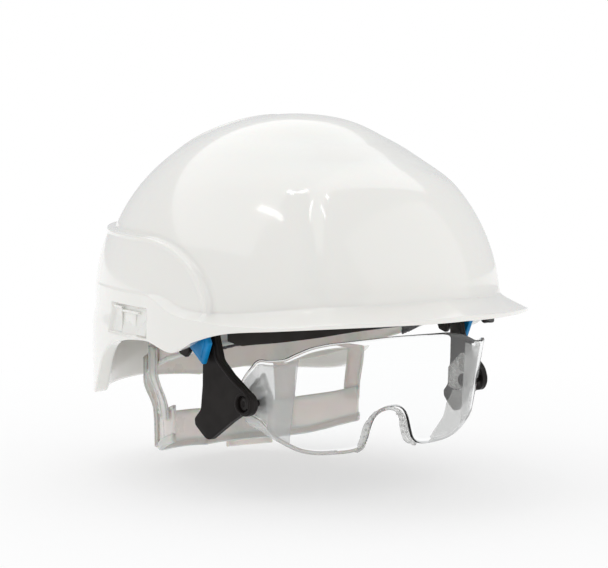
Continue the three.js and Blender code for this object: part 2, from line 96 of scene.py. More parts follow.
def spline(points, count):
    """count points, evenly spaced, on a smooth curve through the given ones."""
    points = np.array(points, float)
    padded = np.vstack([2 * points[0] - points[1], points, 2 * points[-1] - points[-2]])
    fine = []
    for i in range(len(points) - 1):
        a, b, c, d = padded[i:i + 4]
        for t in np.linspace(0, 1, 40, endpoint=i == len(points) - 2):
            fine.append(0.5 * (2 * b + (c - a) * t + (2 * a - 5 * b + 4 * c - d) * t * t
                               + (3 * b - a - 3 * c + d) * t ** 3))
    fine = np.array(fine)
    run = distances(fine)
    even = np.linspace(0, run[-1], count)
    return np.stack([np.interp(even, run, fine[:, k]) for k in range(points.shape[1])], 1)


def unit(rows):
    return rows / np.linalg.norm(rows, axis=-1, keepdims=True)


def on_ellipse(plan, degrees, offset):
    """x and y on an ellipse (half width, half length, centre y); 0 degrees is the front."""
    angle = np.radians(degrees)
    nx, ny = np.sin(angle) / plan[0], -np.cos(angle) / plan[1]
    size = np.hypot(nx, ny)
    x = plan[0] * np.sin(angle) + offset * nx / size
    y = plan[2] - plan[1] * np.cos(angle) + offset * ny / size
    return x, y


def turn_of(degrees):
    """Degrees from the front, the same on both sides."""
    return np.abs((np.asarray(degrees, float) + 180) % 360 - 180)


# ---- Mesh making ----
def add_object(name, mesh):
    piece = bpy.data.objects.new(name, mesh)
    bpy.context.scene.collection.objects.link(piece)
    return piece


def make_mesh(name, points, faces):
    mesh = bpy.data.meshes.new(name)
    mesh.from_pydata((np.asarray(points, float) * MM).tolist(), [], faces)
    mesh.validate()
    mesh.update()
    smoothed(mesh)
    return add_object(name, mesh)


def face_out(piece):
    """Turns every face of a closed piece outwards."""
    def mend(work):
        bmesh.ops.remove_doubles(work, verts=work.verts, dist=1e-6)
        bmesh.ops.dissolve_degenerate(work, edges=work.edges, dist=1e-7)
        bmesh.ops.recalc_face_normals(work, faces=work.faces)

    edited(piece, mend)
    smoothed(piece.data)
    return piece


def tube(name, rows, ring=False):
    """A closed mesh through sections [row, point], capped at its ends unless it is a ring."""
    rows = np.asarray(rows, float)
    count, width = rows.shape[:2]
    index = np.arange(count * width).reshape(count, width)
    faces = []
    for i in range(count if ring else count - 1):
        here, there = index[i], index[(i + 1) % count]
        for j in range(width):
            k = (j + 1) % width
            faces.append((here[j], here[k], there[k], there[j]))
    if not ring:
        faces += [tuple(index[0][::-1]), tuple(index[-1])]
    faces = [tuple(int(v) for v in face) for face in faces]
    return face_out(make_mesh(name, rows.reshape(-1, 3), faces))


def tag(piece, name, values):
    """Stores one vector for each vertex, for a material to read."""
    store = piece.data.attributes.new(name, "FLOAT_VECTOR", "POINT")
    store.data.foreach_set("vector", np.asarray(values, np.float32).ravel())
    return piece


def rounded_outline(corners, steps=6):
    """A closed outline from (a, b, radius) corners, each rounded by an arc of its radius."""
    points = []
    count = len(corners)
    for i, (a, b, radius) in enumerate(corners):
        here = Vector((a, b))
        back = Vector(corners[i - 1][:2]) - here
        on = Vector(corners[(i + 1) % count][:2]) - here
        half = back.angle(on) / 2
        reach = min(radius / math.tan(half), 0.48 * back.length, 0.48 * on.length)
        start, end = here + back.normalized() * reach, here + on.normalized() * reach
        for k in range(steps + 1):
            t = k / steps
            points.append((1 - t) ** 2 * start + 2 * t * (1 - t) * here + t * t * end)
    return [(p.x, p.y) for p in points]


def box_outline(a0, a1, b0, b1, radius, steps=6):
    """A rounded rectangle between two corners."""
    corners = [(a0, b0, radius), (a1, b0, radius), (a1, b1, radius), (a0, b1, radius)]
    return rounded_outline(corners, steps)


def circle(centre, radius, steps=32):
    angles = [TAU * k / steps for k in range(steps)]
    return [(centre[0] + radius * math.cos(a), centre[1] + radius * math.sin(a)) for a in angles]


def plate(name, outline, thickness, bevel=0.5, holes=()):
    """A flat bevelled plate in its own (x, y) plane, from z = 0 to its thickness."""
    curve = bpy.data.curves.new(name, "CURVE")
    curve.dimensions = "2D"
    curve.fill_mode = "BOTH"
    curve.extrude = (thickness / 2 - bevel) * MM
    curve.bevel_depth = bevel * MM
    curve.bevel_resolution = 3
    curve.offset = -bevel * MM
    for ring in (outline, *holes):
        strand = curve.splines.new("POLY")
        strand.points.add(len(ring) - 1)
        for point, (a, b) in zip(strand.points, ring):
            point.co = (a * MM, b * MM, 0, 1)
        strand.use_cyclic_u = True
    shape = bpy.data.objects.new(name + "_curve", curve)
    bpy.context.scene.collection.objects.link(shape)
    bpy.context.view_layer.update()
    view = bpy.context.evaluated_depsgraph_get()
    mesh = bpy.data.meshes.new_from_object(shape.evaluated_get(view))
    mesh.name = name
    bpy.data.objects.remove(shape)
    set_points(mesh, points_of(mesh) + (0, 0, thickness / 2))
    return sharpen(face_out(add_object(name, mesh)))


def points_of(mesh):
    co = np.zeros(len(mesh.vertices) * 3)
    mesh.vertices.foreach_get("co", co)
    return co.reshape(-1, 3) / MM


def set_points(mesh, co):
    mesh.vertices.foreach_set("co", (np.asarray(co) * MM).ravel())
    mesh.update()


def reshape(piece, change):
    """Moves a piece's points by a function of their (n, 3) array."""
    set_points(piece.data, change(points_of(piece.data)))
    return piece


def edited(piece, change):
    """Puts a piece's mesh through a function of its BMesh."""
    work = bmesh.new()
    work.from_mesh(piece.data)
    change(work)
    work.to_mesh(piece.data)
    work.free()
    return piece


def smoothed(mesh, value=True):
    mesh.polygons.foreach_set("use_smooth", [value] * len(mesh.polygons))


def sharpen(piece, degrees=40):
    """Keeps edges steeper than an angle crisp."""
    def mark(work):
        for edge in work.edges:
            if len(edge.link_faces) == 2 and edge.calc_face_angle(0) > math.radians(degrees):
                edge.smooth = False

    return edited(piece, mark)


def upright(piece, x0):
    """Stands a plate in the (y, z) plane, with its thickness from x0 along +X."""
    return reshape(piece, lambda co: np.stack([co[:, 2] + x0, co[:, 0], co[:, 1]], 1))


def joined(name, parts):
    """One piece from several."""
    work = bmesh.new()
    for part in parts:
        work.from_mesh(part.data)
    mesh = bpy.data.meshes.new(name)
    work.to_mesh(mesh)
    work.free()
    for part in parts:
        bpy.data.objects.remove(part)
    smoothed(mesh)
    return add_object(name, mesh)


def mirrored(piece, name):
    """The wearer's-right twin of a left piece."""
    twin = add_object(name, piece.data.copy())
    reshape(twin, lambda co: co * (-1, 1, 1))
    twin.data.flip_normals()
    return twin


def finish_piece(piece, body, slot, paint, *nodes):
    """Rides a piece on its body, gives it its material and hides its CAD nodes."""
    piece.data.materials.clear()
    piece.data.materials.append(paint)
    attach(piece, body)
    if nodes:
        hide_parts(*nodes)
    return piece


def finish_pair(piece, stem, body, slot, paint):
    """Finishes a left piece and its right twin, named after the CAD pair they replace."""
    twin = mirrored(piece, f"{stem}_look_r")
    piece.name = f"{stem}_look_l"
    for part, side in ((piece, "l"), (twin, "r")):
        finish_piece(part, body, slot, paint, f"{stem}_{side}")


# ---- Materials ----
class Paint:
    """A Principled material and short ways to wire procedural detail into it."""

    def __init__(self, name, color, roughness, **sockets):
        self.material = bpy.data.materials.new(name)
        self.material.use_nodes = True
        self.nodes = self.material.node_tree.nodes
        self.links = self.material.node_tree.links
        self.shader = self.nodes["Principled BSDF"]
        self.shader.inputs["Base Color"].default_value = (*color, 1)
        self.shader.inputs["Roughness"].default_value = roughness
        for socket, value in sockets.items():
            self.shader.inputs[socket.replace("_", " ")].default_value = value

    def add(self, kind, **settings):
        node = self.nodes.new(kind)
        for key, value in settings.items():
            if key in node.inputs:
                node.inputs[key].default_value = value
            else:
                setattr(node, key, value)
        return node

    def place(self):
        return self.add("ShaderNodeTexCoord").outputs["Object"]

    def calc(self, operation, *values):
        node = self.add("ShaderNodeMath", operation=operation)
        for value, socket in zip(values, node.inputs):
            if isinstance(value, float):
                socket.default_value = value
            else:
                self.links.new(value, socket)
        return node.outputs[0]

    def noise(self, scale, detail):
        node = self.add("ShaderNodeTexNoise", Scale=scale, Detail=detail)
        self.links.new(self.place(), node.inputs["Vector"])
        return node.outputs["Fac"]

    def ramp(self, value, low, high, start=0.35, end=0.65):
        node = self.add("ShaderNodeMapRange")
        settings = zip(("From Min", "From Max", "To Min", "To Max"), (start, end, low, high))
        for key, number in settings:
            node.inputs[key].default_value = number
        self.links.new(value, node.inputs["Value"])
        return node.outputs["Result"]

    def tint(self, value, dark, light, start=0.3, end=0.7):
        node = self.add("ShaderNodeValToRGB")
        node.color_ramp.elements[0].position = start
        node.color_ramp.elements[1].position = end
        node.color_ramp.elements[0].color = (*dark, 1)
        node.color_ramp.elements[1].color = (*light, 1)
        self.links.new(value, node.inputs["Fac"])
        self.links.new(node.outputs["Color"], self.shader.inputs["Base Color"])
        return self

    def rough(self, value, low, high):
        self.links.new(self.ramp(value, low, high), self.shader.inputs["Roughness"])
        return self

    def bump(self, value, distance_mm, strength=1.0):
        node = self.add("ShaderNodeBump", Strength=strength, Distance=distance_mm * MM)
        self.links.new(value, node.inputs["Height"])
        shader_normal = self.shader.inputs["Normal"]
        if shader_normal.is_linked:
            self.links.new(shader_normal.links[0].from_socket, node.inputs["Normal"])
        self.links.new(node.outputs["Normal"], shader_normal)
        return self


def shade(color, factor):
    return tuple(min(1.0, c * factor) for c in color)


def speckled(name, color, roughness, tint=None, rough=None, bump=None, **sockets):
    """A material with noise in its colour, its roughness and its surface.

    Each is (scale, detail, ...): then dark and light for tint, low and high for rough, and
    millimetres deep and strength for bump.
    """
    paint = Paint(name, color, roughness, **sockets)
    for wire, settings in ((paint.tint, tint), (paint.rough, rough), (paint.bump, bump)):
        if settings:
            wire(paint.noise(*settings[:2]), *settings[2:])
    return paint.material


# millimetres from thread to thread
RIB_PITCH, TWILL_PITCH = 1.15, 1.8


def webbing_paint():
    thread = (0.79, 0.79, 0.77)
    paint = Paint("woven_webbing", thread, 0.8, Sheen_Weight=0.3)
    along = paint.add("ShaderNodeAttribute", attribute_name="weave").outputs["Vector"]
    split = paint.add("ShaderNodeSeparateXYZ")
    paint.links.new(along, split.inputs["Vector"])

    ribs = paint.calc("MULTIPLY_ADD", split.outputs["X"], TAU / RIB_PITCH, 0.5)
    twill = paint.calc("MULTIPLY", split.outputs["Y"], TAU / TWILL_PITCH)
    twill = paint.calc("MULTIPLY_ADD", split.outputs["X"], TAU / TWILL_PITCH, twill)
    both = paint.calc("MULTIPLY", paint.calc("SINE", ribs), paint.calc("SINE", twill))
    height = paint.ramp(both, 0, 1, -1, 1)
    paint.tint(height, shade(thread, 0.72), shade(thread, 1.05), 0.2, 0.7)
    paint.bump(height, 0.25, 0.8)
    return paint.material


def cloth_paint(name, color):
    paint = Paint(name, color, 0.9, Sheen_Weight=0.25)
    weave = paint.add("ShaderNodeTexVoronoi", Scale=900.0)
    paint.links.new(paint.place(), weave.inputs["Vector"])
    loops = paint.ramp(weave.outputs["Distance"], 0, 1, 0.0, 0.8)
    paint.tint(loops, shade(color, 1.5), shade(color, 0.5), 0.1, 0.9)
    paint.bump(loops, 0.3, 0.7)
    return paint.material


WHITE, SEA, MILK = (0.87, 0.862, 0.825), (0.003, 0.215, 0.5), (0.86, 0.83, 0.79)
SHELL = speckled("shell_gloss", WHITE, 0.16, (9, 2, shade(WHITE, 0.985), shade(WHITE, 1.01)),
                 (60, 4, 0.12, 0.2), (420, 2, 0.012, 0.35), Specular_IOR_Level=0.5,
                 Coat_Weight=0.8, Coat_Roughness=0.03, Subsurface_Weight=0.05,
                 Subsurface_Scale=0.004)
BLACK = speckled("black_moulded", (0.011, 0.0085, 0.0075), 0.45,
                 (70, 4, (0.008, 0.006, 0.0055), (0.014, 0.0115, 0.0105)),
                 (160, 3, 0.34, 0.52), (1500, 3, 0.03, 0.5), Specular_IOR_Level=0.18)
RUBBER = speckled("black_seal", (0.017, 0.0145, 0.013), 0.62, None, (120, 3, 0.5, 0.72),
                  (900, 4, 0.03, 0.5), Specular_IOR_Level=0.2)
BLUE = speckled("blue_moulded", SEA, 0.36, (90, 3, shade(SEA, 0.8), shade(SEA, 1.2)),
                (200, 3, 0.26, 0.42), (1100, 2, 0.02, 0.4), Specular_IOR_Level=0.3)
NATURAL = speckled("natural_translucent", MILK, 0.3,
                   (26, 4, shade(MILK, 0.95), shade(MILK, 1.04)), (90, 4, 0.24, 0.42),
                   (240, 3, 0.05, 0.35), Alpha=0.7, Specular_IOR_Level=0.5,
                   Subsurface_Weight=0.4, Subsurface_Scale=0.006)
CLEAR = speckled("clear_polycarbonate", (0.985, 0.99, 0.99), 0.01, None, (14, 4, 0.0, 0.02),
                 Transmission_Weight=1.0, IOR=1.4, Specular_IOR_Level=0.5)
# frosted look for the lens shelves; on the sheet inside the lens's wrap-around this pale material
# is a painted reflection
FROSTED_AND_REFLECTION = speckled("frosted_polycarbonate_and_painted_reflection", (0.84, 0.84, 0.83), 0.25, None,
                   (200, 4, 0.14, 0.34), (700, 3, 0.04, 0.5), Alpha=0.34)
SOFT_CLEAR = speckled("soft_clear", (0.82, 0.82, 0.81), 0.2, None, (260, 3, 0.1, 0.34),
                      (500, 2, 0.05, 0.5), Transmission_Weight=0.7, IOR=1.3, Alpha=0.8)
STEEL = speckled("turned_steel", (0.6, 0.6, 0.6), 0.3, None, (300, 4, 0.22, 0.4), Metallic=1.0)
WEBBING = webbing_paint()
TOWELLING = cloth_paint("sweatband_towelling", (0.05, 0.05, 0.055))
PAD_CLOTH = cloth_paint("pad_cloth", (0.06, 0.06, 0.065))


# ---- Shell ----
rim_height = through([
    (0, 0), (28, -1.5), (47, -4.5), (61, -8), (70, -14), (78, -21.5), (89, -17.5),
    (100, -20), (107, -25), (112.5, -34), (117, -46), (123, -56.5), (135, -58.3), (180, -58.5),
])
root_height = through([(0, 10.3), (17, 8.8), (37, 7.4), (55, 3.6), (62, 2.2), (68, 2), (76, 3.8),
                       (81, 8), (85, 9.5), (180, 9.5)])
ledge_height = through([(0, 2.8), (28, 0.6), (52, -3), (60, -3), (67, -1.9), (75, -0.6), (80, 2),
                        (84, 6), (88, 8), (180, 8)])


def panel_proud(turn):
    return 1.8 + 1.7 * smooth(80, 150, turn)


def rear_panel(turn, z):
    """How far the raised rear panel and the bead along its edge stand out at a place."""
    across, up, power = 28.0, 37.0, 2.1

    def measure(turn, z):
        a = np.clip(95 - turn, 0, None) / across
        b = np.clip(z - 2, 0, None) / up
        return (a ** power + b ** power + 1e-9) ** (1 / power)

    level = measure(turn, z)
    slope_a = (measure(turn + 0.1, z) - level) / 0.2
    slope_b = (measure(turn, z + 0.1) - level) / 0.1
    distance = (1 - level) / np.maximum(np.hypot(slope_a, slope_b), 0.01)
    width = 1.3 + 1.6 * smooth(40, 12, z)
    bead = 0.75 * smooth(-0.8, 0.7, distance) * (1 - smooth(width, width + 1.5, distance))
    groove = -0.35 * np.exp(-((distance + 1.9) / 1.2) ** 2)
    return panel_proud(turn) * smooth(-0.9, 0.9, distance) + bead + groove


def dome_relief(x, y, z, turn):
    """Soft relief of the dome: the raised front panel, its valley and the crown creases."""
    top = 84 - 15 * (turn / 37) ** 2
    side = (36 - turn) * 2.0 * np.clip(np.sqrt(np.clip(1 - (z / CROWN) ** 2, 0, 1)), 0.3, 1)
    inside = -np.logaddexp(-side / 3, -(top - z) / 3) * 3
    fade = 1 - smooth(55, 84, z)
    panel = 1.7 * smooth(-5, 5, inside) * (0.25 + 0.75 * fade)
    valley = -1.5 * np.exp(-((inside + 7) / 6.5) ** 2) * smooth(6, 16, z) * fade
    foot = -0.8 * np.exp(-((z - 14) / 5) ** 2) * smooth(40, 30, turn)
    brow = -3.0 * smooth(66, 86, z) * (1 - smooth(94, 105, z)) * (1 - smooth(30, 110, turn))
    crease = 0.9 * smooth(-2.5, 2.5, y - 26 - 0.02 * x * x) * smooth(58, 74, z)
    crease = crease * (1 - smooth(52, 80, y)) * (1 - smooth(34, 52, np.abs(x)))
    return panel + valley + foot + brow + crease


def shell_outside(degrees, z):
    """A point on the shell above the brim, for arrays of angle and height."""
    turn = turn_of(degrees)
    scale = np.sqrt(np.clip(1 - (np.clip(z, 0, CROWN) / CROWN) ** 2, 0, 1))
    angle = np.radians(degrees)
    x = HALF_WIDTH * scale * np.sin(angle)
    y = CENTRE_Y - HALF_LENGTH * scale * np.cos(angle)
    normal = np.stack([x / HALF_WIDTH ** 2, (y - CENTRE_Y) / HALF_LENGTH ** 2,
                       np.clip(z, 0, None) / CROWN ** 2], -1)
    normal /= np.maximum(np.linalg.norm(normal, axis=-1, keepdims=True), 1e-9)
    out = dome_relief(x, y, z, turn) + rear_panel(turn, z)
    return np.stack([x, y, z], -1) + normal * out[..., None]


SLOT = {"front": -0.5, "rear": 40.5, "low": -16.0, "high": 0.6, "depth": 2.1}


def slot_recess(y, z):
    """The moulded recess round each accessory slot."""
    def above(side, value):
        return smooth(SLOT[side] - 0.45, SLOT[side] + 0.45, value)

    inside = above("front", y) * (1 - above("rear", y)) * above("low", z) * (1 - above("high", z))
    return -SLOT["depth"] * inside


def skirt_offset(degrees, z):
    """How far the shell stands out of its base outline below the brim's ledge."""
    turn = turn_of(degrees)
    flare = 2 + 18 * np.clip(np.cos(np.radians(degrees)), 0, None)
    rear = panel_proud(turn) + 2.0 * (1 - smooth(-17, -3, z))
    blend = smooth(84, 98, turn)
    _, y = on_ellipse(SHELL_PLAN, degrees, 0)
    return flare * (1 - blend) + rear * blend + slot_recess(y, z)


def build_shell():
    fine = np.arange(62, 113, 0.36)
    coarse = np.concatenate([np.arange(0, 62, 0.9), fine, np.arange(113, 180, 0.9)])
    degrees = np.concatenate([coarse, [180.0], 360 - coarse[:0:-1]])
    turn = turn_of(degrees)
    rim, root, ledge = rim_height(turn), root_height(turn), ledge_height(turn)

    def ring(offset, z):
        x, y = on_ellipse(SHELL_PLAN, degrees, offset)
        return np.stack([x, y, np.broadcast_to(z, degrees.shape)], -1)

    rows = []
    low_dome = 14.0
    tilts = np.concatenate([np.linspace(0.012, 1.05, 56),
                            np.linspace(1.05, math.acos(low_dome / CROWN), 62)[1:]])
    for tilt in tilts:
        rows.append(shell_outside(degrees, np.full_like(degrees, CROWN * math.cos(tilt))))
    for t in np.linspace(0, 1, 14)[1:]:
        rows.append(shell_outside(degrees, low_dome + (root - low_dome) * t))
    start = rows[-1]
    edge = ring(skirt_offset(degrees, ledge), ledge)
    bend = start.copy()
    bend[:, 2] = root * 0.72 + ledge * 0.28
    bend[:, :2] += (edge[:, :2] - bend[:, :2]) * 0.12
    crest = start + (edge - start) * 0.8
    crest[:, 2] = ledge + (root - ledge) * 0.2
    for t in np.linspace(0, 1, 15)[1:]:
        row = ((1 - t) ** 3 * start + 3 * t * (1 - t) ** 2 * bend
               + 3 * t * t * (1 - t) * crest + t ** 3 * edge)
        rows.append(row)
    lip = 1.1
    bottom = rim + lip
    for t in np.linspace(0, 1, 44)[1:]:
        z = ledge + (bottom - ledge) * t
        rows.append(ring(skirt_offset(degrees, z), z))
    outer = skirt_offset(degrees, bottom)
    for t in np.linspace(0, 1, 6)[1:]:
        swing = t * math.pi / 2
        rows.append(ring(outer - lip * (1 - math.cos(swing)), bottom - lip * math.sin(swing)))
    for t in np.linspace(0, 1, 7)[1:]:
        rows.append(ring((outer - lip) * (1 - t) - (WALL - 0.8) * t, rim + 0.9 * t))
    rows.append(ring(-WALL, rim + 1.9))
    inner_wall = np.minimum(rim + 4, 2)
    for t in np.linspace(0, 1, 10):
        rows.append(ring(-WALL, inner_wall + (8 - inner_wall) * t))
    for tilt in np.linspace(math.acos(10 / CROWN), 0.012, 34):
        scale, z = math.sin(tilt), (CROWN - WALL) * math.cos(tilt)
        inner = ((HALF_WIDTH - WALL) * scale, (HALF_LENGTH - WALL) * scale, CENTRE_Y)
        x, y = on_ellipse(inner, degrees, 0)
        rows.append(np.stack([x, y, np.full_like(x, z)], -1))
    return tube("helmet_shell", np.array(rows))


shell = build_shell()
finish_piece(shell, "helmet", "shell_plastic", SHELL, "outer_shell")


# ---- Bars, bands and ribbons ----
def rounded_section(width, height, radius, steps=4):
    """A closed rounded rectangle about its centre."""
    points = []
    corners = ((1, 1), (-1, 1), (-1, -1), (1, -1))
    for k, (a, b) in enumerate(corners):
        for step in range(steps + 1):
            angle = (k + step / steps) * math.pi / 2
            points.append((a * (width / 2 - radius) + radius * math.cos(angle),
                           b * (height / 2 - radius) + radius * math.sin(angle)))
    return np.array(points)


def band(name, plan, start, end, count, low, high, offset, thickness, round_mm=0.6, ring=False):
    """A band on an ellipse with rounded edges; low and high give its heights by turn."""
    rows = []
    for degrees in np.linspace(start, end, count, endpoint=not ring):
        turn = float(turn_of(degrees))
        bottom, top = float(low(turn)), float(high(turn))
        section = rounded_section(thickness, top - bottom, min(round_mm, thickness * 0.49))
        row = []
        for across, up in section:
            x, y = on_ellipse(plan, degrees, offset - thickness / 2 + across)
            row.append((x, y, (top + bottom) / 2 + up))
        rows.append(row)
    return tube(name, rows, ring)


def ribbon(name, route, across, width, thickness):
    """Webbing along a route, with the direction of its width given at every point."""
    route, across = np.asarray(route, float), np.asarray(across, float)
    up = np.cross(unit(np.gradient(route, axis=0)), across)
    section = rounded_section(width, thickness, thickness * 0.42, 3)
    sides = np.linspace(-1, 1, 15)[1:-1] * width / 2
    flat = [(s, thickness / 2) for s in sides[::-1]]
    under = [(s, -thickness / 2) for s in sides]
    quarter = len(section) // 4
    ring = np.vstack([section[:quarter], flat, section[quarter:3 * quarter], under,
                      section[3 * quarter:]])
    rows, marks = [], []
    for point, side, rise, length in zip(route, across, up, distances(route)):
        rows.append(point + ring[:, :1] * side + ring[:, 1:] * rise)
        marks.append([(length, s, 0) for s in ring[:, 0]])
    piece = tube(name, rows)
    found = points_of(piece.data)
    flat_rows, flat_marks = np.reshape(rows, (-1, 3)), np.reshape(marks, (-1, 3))
    tree = KDTree(len(flat_rows))
    for i, point in enumerate(flat_rows):
        tree.insert(point, i)
    tree.balance()
    tag(piece, "weave", [flat_marks[tree.find(point)[1]] for point in found])
    return piece


# ---- Seal, slots, brackets and pivots ----
def build_seal():
    """The rubber strip under the rim: deep beside the hinges and shallow at the front."""
    drop = through([(0, 2.6), (15, 3.3), (28, 4.8), (37, 6.5), (45, 7.5), (54, 8.2), (64, 8.4)])
    return band("brow_seal_look", SHELL_PLAN, -63, 63, 90,
                lambda t: rim_height(t) - drop(t) + 4 * smooth(59, 63.5, t),
                lambda t: rim_height(t) + 3, -WALL - 0.3, 2, 0.8)


finish_piece(build_seal(), "helmet", "black_rubber", RUBBER, "brow_seal")


def slot_surface(y, depth):
    """x of the recess floor beside an accessory slot, raised by -depth."""
    angle = math.degrees(math.acos(np.clip((CENTRE_Y - y) / HALF_LENGTH, -1, 1)))
    x, _ = on_ellipse(SHELL_PLAN, angle, 0)
    return float(x) + 2.0 - SLOT["depth"] - depth


def build_slot():
    """Dividing plate with a fixing hole, and the two ramps that hold an accessory foot."""
    def bar(y0, y1, z0, z1, thickness):
        return plate("slot_bar", box_outline(y0, y1, z0, z1, 0.5, 3), thickness, 0.3)

    hole = circle((19.6, -10), 1.5, 20)
    parts = [plate("slot_middle", box_outline(12.5, 26.6, -15.2, -2.2, 1), 3.2, 0.35, [hole]),
             bar(8, 26.8, -3.4, -2, 4.3), bar(27.2, 28.4, -15.4, -0.6, 4.4),
             bar(27.2, 38.8, -1.7, -0.5, 4.4)]
    for low, high, top in ((28.2, 38, -5.5), (0.6, 11.8, -4.5)):
        ramp = plate("slot_ramp", rounded_outline([(low, -15, 0.6), (high, -15, 0.6),
                                                   (low, top, 0.6)], 3), 3.0, 0.2)

        def slope(co, top=top):
            rise = np.clip((top - co[:, 1]) / (top + 15), 0, 1) * 2.4 - 0.7
            return np.stack([co[:, 0], co[:, 1],
                             np.where(co[:, 2] > 1.5, co[:, 2] + rise, co[:, 2])], 1)

        parts.append(face_out(reshape(ramp, slope)))
    block = joined("slot", parts)
    back = 2.2

    def stand(co):
        x = np.array([slot_surface(y, back) for y in co[:, 0]]) + co[:, 2]
        return np.stack([x, co[:, 0], co[:, 1]], 1)

    return reshape(block, stand)


finish_pair(build_slot(), "accessory_slot", "helmet", "shell_plastic", SHELL)


def build_bracket():
    """The plate that carries a hinge, with a foot that shows below the rim."""
    outline = rounded_outline([
        (-23.5, -12, 2), (-23.5, -22, 2), (-20, -25.5, 1.5), (-14, -24, 2), (-10, -16, 3),
        (30, -20, 7), (40, -18, 7), (40, -2, 7), (28, 0, 6), (-16, 4, 4),
    ])
    base = plate("bracket_base", outline, 2.6, 0.6, [circle(PIVOT, 3.3, 28)])
    rib = plate("bracket_rib", rounded_outline([(-17, -8, 1), (14, -10, 1), (14, -7, 1),
                                                (-17, -4, 1)]), 1.2, 0.3)
    return joined("bracket", [upright(base, BRACKET_X), upright(rib, BRACKET_X + 2.3)])


finish_pair(build_bracket(), "arm_bracket", "helmet", "black_plastic", BLACK)


def build_lock_clip():
    """A moulded blue clip over the neck of an arm, with a stepped grip."""
    body = plate("clip_body", rounded_outline([
        (-24, -10, 1), (-24, -19, 1.5), (-37, -28, 1.2), (-43, -15.5, 1.2), (-40, -10, 1),
    ]), 3.0, 0.7)
    grip = plate("clip_grip", rounded_outline([
        (-27.5, -12, 0.8), (-27.5, -18.6, 1), (-35.8, -24.6, 1), (-39.5, -15.5, 1),
        (-38, -12, 0.8),
    ]), 1.0, 0.4)
    return joined("clip", [upright(body, BRACKET_X), upright(grip, BRACKET_X + 2.5)])


finish_pair(build_lock_clip(), "lock_clip", "helmet", "blue_plastic", BLUE)

for side in "lr":
    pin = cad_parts[f"pivot_pin_{side}"]
    pin.data.materials.clear()
    pin.data.materials.append(STEEL)


# ---- Eyewear ----
ARM_INNER, ARM_THICKNESS, ARM_BEND, ARM_TOE_IN = 88.0, 4.0, -27.0, 0.18


def boss_arc(radius, start, end, steps=14):
    """Corners on an arc about the boss, from one angle to another in degrees."""
    angles = np.radians(np.linspace(start, end, steps))
    return [(BOSS[0] + radius * math.cos(a), BOSS[1] + radius * math.sin(a), 0.6) for a in angles]


ARM_OUTLINE = [
    (30, -1, 8), (-14, -2, 4), (-27, -2.5, 4), (-39, -5, 7), (-41, -14, 3), (-44, -25, 6),
    (-52, -32.5, 6), (-57, -36, 3), *boss_arc(7, 110, 290), (-52, -58.5, 6),
    (-43.3, -64.8, 6), (-34.5, -71.2, 4.5), (-24, -62.8, 2.5), (-23.6, -59.4, 2),
    (-29, -54, 5), (-30.5, -40, 10), (-31, -14, 4), (-22, -14, 4), (21, -14, 4),
    (24, -18, 6), (34, -18, 6), (39, -13, 6), (39, -5, 7),
]


def toed_in(piece):
    """Leans the part of an arm ahead of its bend towards the lens."""
    def lean(co):
        ahead = np.clip(ARM_BEND - co[:, 1], 0, None)
        return co - np.stack([ARM_TOE_IN * ahead, ahead * 0, ahead * 0], 1)

    return reshape(piece, lean)


def divided(piece, step=4.0):
    """Cuts a piece's faces along planes across Y, so it can bend smoothly."""
    def cut(work):
        for y in np.arange(-66, -20, step):
            bmesh.ops.bisect_plane(work, geom=[*work.verts, *work.edges, *work.faces],
                                   plane_co=(0, y * MM, 0), plane_no=(0, 1, 0), dist=1e-6)

    return edited(piece, cut)


def build_arm():
    """A moulded arm: a plate with a raised rim along its front, a cupped boss and a hub."""
    hub, screw = circle(PIVOT, 3.3, 28), circle(BOSS, 2.4, 28)
    recess = circle(BOSS, 4.7, 40)
    outline = rounded_outline(ARM_OUTLINE, 8)
    web = plate("arm_web", outline, 2.2, 0.3, [hub, screw])
    face = plate("arm_face", outline, 2.4, 0.8, [hub, recess])
    line = spline([(-40.2, -17), (-42.6, -24), (-50.5, -31.6), (-57, -36.6), (-63.5, -40.6),
                   (-66.4, -45), (-66.4, -50)], 40)
    inner = spline([(-38.8, -17.4), (-41.3, -24.7), (-49.6, -32.7), (-56.3, -37.9),
                    (-62.5, -41.6), (-65.1, -45.3), (-65.1, -49.8)], 40)
    rib = plate("arm_rib", [tuple(p) for p in line] + [tuple(p) for p in inner[::-1]], 1.5, 0.4)
    ring = plate("arm_ring", circle(BOSS, 6.1, 48), 1.2, 0.5, [recess])
    washer = plate("arm_washer", circle(PIVOT, 7.6, 40), 0.5, 0.2, [hub])
    outside = ARM_INNER + ARM_THICKNESS
    parts = [upright(web, ARM_INNER), upright(face, ARM_INNER + 1.6), upright(rib, outside - 0.6),
             upright(ring, outside - 0.6), upright(washer, outside - 0.3)]
    return sharpen(toed_in(divided(joined("arm", parts))))


finish_pair(build_arm(), "eyewear_arm", "eyewear", "black_plastic", BLACK)


def lathe(name, profile, centre, steps=40):
    """A round piece about an axis along X through centre (y, z); profile is (radius, x)."""
    return tube(name, [[(x, y, z) for y, z in circle(centre, max(radius, 0.01), steps)]
                       for radius, x in profile])


def build_screw():
    """A sunk screw with a socket in each end."""
    return lathe("screw", [
        (0, 70.0), (1.5, 70.0), (1.7, 69.4), (2.6, 69.2), (3.5, 69.4), (3.8, 70), (3.7, 70.7),
        (1.9, 70.8), (1.9, 84.2), (3.6, 84.3), (3.8, 84.5), (3.7, 85.1), (3.3, 85.4),
        (1.9, 85.5), (1.7, 85.3), (1.6, 84.6), (0, 84.6),
    ], BOSS)


finish_pair(build_screw(), "boss_screw", "eyewear", "black_plastic", BLACK)

